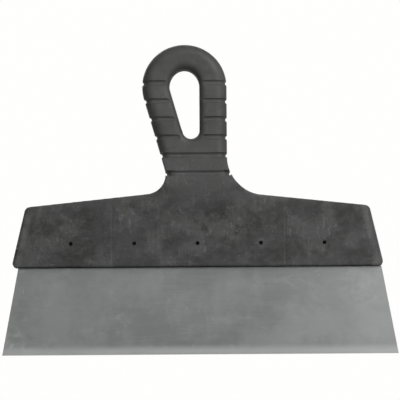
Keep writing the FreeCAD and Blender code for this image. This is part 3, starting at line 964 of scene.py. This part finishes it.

# %% [markdown]
# ### The blade's steel
#
# The blade is cold-rolled spring steel with a satin finish from a grinding belt that ran along the blade. It
# is a true metal with a broad soft gloss, slightly smudged, with a few fine scratches, and brighter along
# the ground working edge. Its right side is painted lighter: a painted reflection that brightens towards the
# right end. It is also worn at the lower left corner and at the upper right, so two distances mark those
# places.

# %% Satin-ground spring steel
steel, tree, shader, place = new_material("satin_ground_spring_steel", Metallic=1.0, Roughness=0.42)
parts = add_node(tree, "SeparateXYZ", links={"Vector": place})
height = parts.outputs["Z"]
smudges = spread(tree, noise(tree, place, 34 * MM, 4, 0.6), 0.40, 0.62)
wipes = spread(tree, noise(tree, place, 8 * MM, 5, 0.7, (1.6, 1, 1), 0.8), 0.52, 0.74)
brushing = noise(tree, place, 0.6 * MM, 4, 0.6, (30, 1, 1))
worn_grain = noise(tree, place, 7 * MM, 4, 0.6, (1.3, 1, 1), 0.6)
scratches = spread(tree, noise(tree, place, 0.8 * MM, 2, 0.5, (1, 1, 5), 0.5), 0.74, 0.80)
ground = spread(tree, height, 7.0 * MM, 1.5 * MM)
colour = blend_colours(tree, smudges, "6b6d6c", "808281")
colour = blend_colours(tree, multiply(tree, wipes, 0.35), colour, "929493")
colour = blend_colours(tree, spread(tree, brushing, 0.3, 0.7, 0, 0.12), colour, "949695")
# Painted reflection: the steel is painted lighter from 20 mm right of the middle out to the right end.
painted_right_reflection = spread(tree, parts.outputs["X"], 20 * MM, BLADE_HALF, 0, 0.3)
colour = blend_colours(tree, painted_right_reflection, colour, "a2a4a3")
for centre, radius, strength in (
    ((-119 * MM, 0, 4 * MM), 16 * MM, 0.5), ((101 * MM, 0, 41 * MM), 20 * MM, 0.22)
):
    away = add_node(
        tree, "VectorMath", {1: centre}, {0: place}, operation="DISTANCE"
    ).outputs["Value"]
    worn = multiply(tree, spread(tree, away, radius, 0.3 * radius), spread(tree, worn_grain, 0.38, 0.66))
    colour = blend_colours(tree, multiply(tree, worn, strength), colour, "a4a6a5")
colour = blend_colours(tree, multiply(tree, ground, 0.8), colour, "a9abaa")
colour = blend_colours(tree, multiply(tree, scratches, 0.6), colour, "b4b6b5")
tree.links.new(colour, shader.inputs["Base Color"])
tree.links.new(spread(tree, smudges, 0, 1, 0.40, 0.46), shader.inputs["Roughness"])
belt_marks = add_node(tree, "Bump", {"Strength": 0.12, "Distance": 0.02 * MM}, {"Height": brushing})
tree.links.new(belt_marks.outputs["Normal"], shader.inputs["Normal"])
print(steel.name, len(tree.nodes), "nodes")

# %% [markdown]
# ### The pins' steel
#
# The pins are cut wire, coloured near black: painted shade of the deep bores they sit in.

# %% Steel wire painted near black with the bores' shade
wire, tree, shader, place = new_material("steel_wire_painted_shade_dark", Metallic=1.0, Roughness=0.5)
# Painted shade: a random mottle between two near-black tones, standing in for the shade in the bores.
painted_shade_mottle = spread(tree, noise(tree, place, 0.8 * MM, 3, 0.6), 0.35, 0.65)
tree.links.new(blend_colours(tree, painted_shade_mottle, "0e0d0d", "242322"), shader.inputs["Base Color"])
tree.links.new(spread(tree, painted_shade_mottle, 0, 1, 0.65, 0.4), shader.inputs["Roughness"])
print(wire.name, len(tree.nodes), "nodes")

# %% Put the materials on
for piece, material, slot_name in (
    [(handle, plastic, "handle_plastic"), (sheet, steel, "blade_steel")]
    + [(each, wire, "pin_steel") for each in pins]
):
    piece.data.materials.clear()
    piece.data.materials.append(material)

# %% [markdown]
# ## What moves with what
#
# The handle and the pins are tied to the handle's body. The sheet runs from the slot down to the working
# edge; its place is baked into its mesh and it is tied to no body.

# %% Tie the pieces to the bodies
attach(handle, "handle")
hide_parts("handle")
for each in pins:
    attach(each, "handle")
    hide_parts("blade_pins")
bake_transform(sheet)
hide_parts("blade", "blade_tang")

# %% [markdown]
# ## The studio
#
# A pale floor, a white room and soft lights. The camera sees the room as plain white, but the
# room lights the tool only weakly from the front and more from behind, which is cheap fill light.
# The floor glows a little, to stay as pale as the room. Seen from below it is clear, because the
# camera stands a little lower than the floor. The key light stands up and to the right, so that
# the left sides and the right-hand side of the window fall into shade. A small light near the
# right end lies in the blade's gloss, and weak ones fill the front, the left and the back.

# %% Floor
bpy.ops.mesh.primitive_plane_add(size=8, location=(0, 0, -0.3 * MM))
floor = bpy.context.object
floor.name = "floor"
paper, tree, shader, place = new_material("white_paper", Roughness=0.9)
shader.inputs["Base Color"].default_value = linear("f6f6f5")
shader.inputs["Emission Color"].default_value = (1, 1, 1, 1)
shader.inputs["Emission Strength"].default_value = 0.6
shown_side = add_node(tree, "NewGeometry").outputs["Backfacing"]
see_through = add_node(tree, "BsdfTransparent").outputs["BSDF"]
one_sided = add_node(tree, "MixShader", links={0: shown_side, 1: shader.outputs["BSDF"], 2: see_through})
tree.links.new(one_sided.outputs["Shader"], tree.nodes["Material Output"].inputs["Surface"])
floor.data.materials.append(paper)
floor.visible_diffuse = floor.visible_glossy = False

# %% Room
world = bpy.data.worlds.new("white_room")
bpy.context.scene.world = world
world.use_nodes = True
tree = world.node_tree
room = tree.nodes["Background"]
room.inputs["Color"].default_value = (1, 1, 1, 1)
backdrop = add_node(tree, "Background", {"Color": (1.0, 0.995, 0.99, 1), "Strength": 1.0})
seen = add_node(tree, "LightPath").outputs["Is Camera Ray"]
heading = add_node(
    tree, "SeparateXYZ", links={"Vector": add_node(tree, "TexCoord").outputs["Generated"]}
).outputs["Y"]
tree.links.new(spread(tree, heading, 0.0, 0.7, 0.14, 0.45), room.inputs["Strength"])
mixed = add_node(
    tree, "MixShader", links={0: seen, 1: room.outputs["Background"], 2: backdrop.outputs["Background"]}
)
tree.links.new(mixed.outputs["Shader"], tree.nodes["World Output"].inputs["Surface"])

# %% Lights
middle = (Vector(cad_box[0]) + Vector(cad_box[1])) / 2


def soft_light(name, place, size, power):
    """Adds a square area light that looks at the middle of the tool."""
    bpy.ops.object.light_add(type="AREA", location=place)
    lamp = bpy.context.object
    lamp.name = name
    lamp.data.size = size
    lamp.data.energy = power
    lamp.rotation_euler = (middle - Vector(place)).to_track_quat("-Z", "Y").to_euler()
    return lamp


soft_light("key_light", (0.8, -1.0, 1.1), 0.7, 14)
soft_light("right_front_light", (0.34, -0.42, 0.08), 0.18, 0.62)
soft_light("front_light", (-0.1, -1.9, 0.5), 0.9, 7)
soft_light("left_fill_light", (-1.7, -1.9, 0.4), 1.2, 3.2)
soft_light("back_light", (-0.3, 1.4, 0.8), 1.2, 14)

# %% [markdown]
# ## The camera
#
# A long lens from three metres away keeps the two ends of the blade the same size. The camera
# stands a little below the tool and looks up at it by five degrees, and it is turned slightly
# about its own line of sight.

# %% Camera
VIEW_DISTANCE = 3.0
VIEW_ELEVATION = -5 * DEG
VIEW_ROLL = 0.38 * DEG
VIEW_WIDTH = 252.88 * MM
SENSOR_WIDTH = 36
AIM = Vector((0.35 * MM, 0, 97.7 * MM))

bpy.ops.object.camera_add(
    location=AIM + VIEW_DISTANCE * Vector((0, -cos(VIEW_ELEVATION), sin(VIEW_ELEVATION)))
)
camera = bpy.context.object
camera.data.sensor_width = SENSOR_WIDTH
camera.data.lens = SENSOR_WIDTH * VIEW_DISTANCE / VIEW_WIDTH
look = (AIM - camera.location).to_track_quat("-Z", "Y")
camera.rotation_euler = look.to_euler()
camera.rotation_euler.rotate_axis("Z", -VIEW_ROLL)
bpy.context.scene.camera = camera
bpy.context.scene.view_settings.view_transform = "Standard"
print("lens", round(camera.data.lens, 1), "mm")
